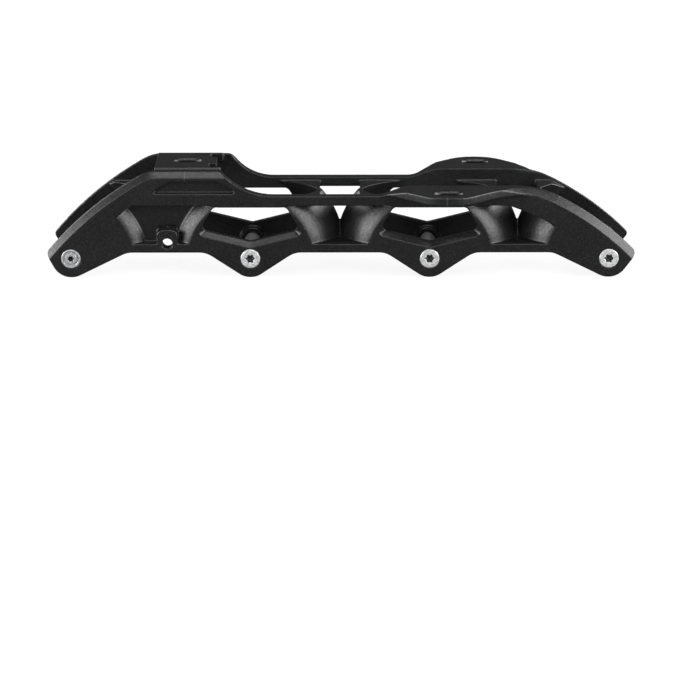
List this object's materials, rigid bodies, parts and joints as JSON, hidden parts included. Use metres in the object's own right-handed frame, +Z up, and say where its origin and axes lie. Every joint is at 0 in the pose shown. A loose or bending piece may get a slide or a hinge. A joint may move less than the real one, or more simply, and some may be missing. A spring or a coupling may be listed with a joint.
{
  "type": "inline skate frame",
  "caption": "Die-cast inline skate frame with open side windows, curved wheel wells, a raised heel platform, slotted toe wings and withdrawable axle bolts.",
  "frame": {"origin": "middle of the frame's overall length and width, at the level of its lowest edge, under the axle lobes", "axes": "+X to the toe along the row of wheels, +Y to the left, +Z up to the boot"},
  "size_m": [0.3005, 0.081, 0.0565],
  "materials": {
    "frame_coat": "satin black powder coat with a fine grain, over die-cast aluminium",
    "axle_steel": "bright zinc-plated steel with fine turning marks",
    "rear_axle_steel": "duller grey steel with a sunk ring in the head"
  },
  "bodies": {
    "frame": {"right_side_wall": "frame_coat", "left_side_wall": "frame_coat", "right_axle_bosses": "frame_coat", "left_axle_bosses": "frame_coat", "right_brake_boss": "frame_coat", "left_brake_boss": "frame_coat", "heel_platform": "frame_coat", "right_toe_wing": "frame_coat", "left_toe_wing": "frame_coat", "wheel_1_front_well": "frame_coat", "wheel_2_rear_well": "frame_coat", "wheel_2_front_well": "frame_coat", "wheel_3_rear_well": "frame_coat", "wheel_3_front_well": "frame_coat", "wheel_4_rear_well": "frame_coat"},
    "axle_1": {"axle_1": "rear_axle_steel"},
    "axle_2": {"axle_2": "axle_steel"},
    "axle_3": {"axle_3": "axle_steel"},
    "axle_4": {"axle_4": "axle_steel"}
  },
  "joints": [
    {"name": "axle_1_withdraw", "type": "slide", "parent": "frame", "child": "axle_1", "axis": [0, -1, 0], "range_m": [0, 0.045]},
    {"name": "axle_2_withdraw", "type": "slide", "parent": "frame", "child": "axle_2", "axis": [0, -1, 0], "range_m": [0, 0.045]},
    {"name": "axle_3_withdraw", "type": "slide", "parent": "frame", "child": "axle_3", "axis": [0, -1, 0], "range_m": [0, 0.045]},
    {"name": "axle_4_withdraw", "type": "slide", "parent": "frame", "child": "axle_4", "axis": [0, -1, 0], "range_m": [0, 0.045]}
  ]
}
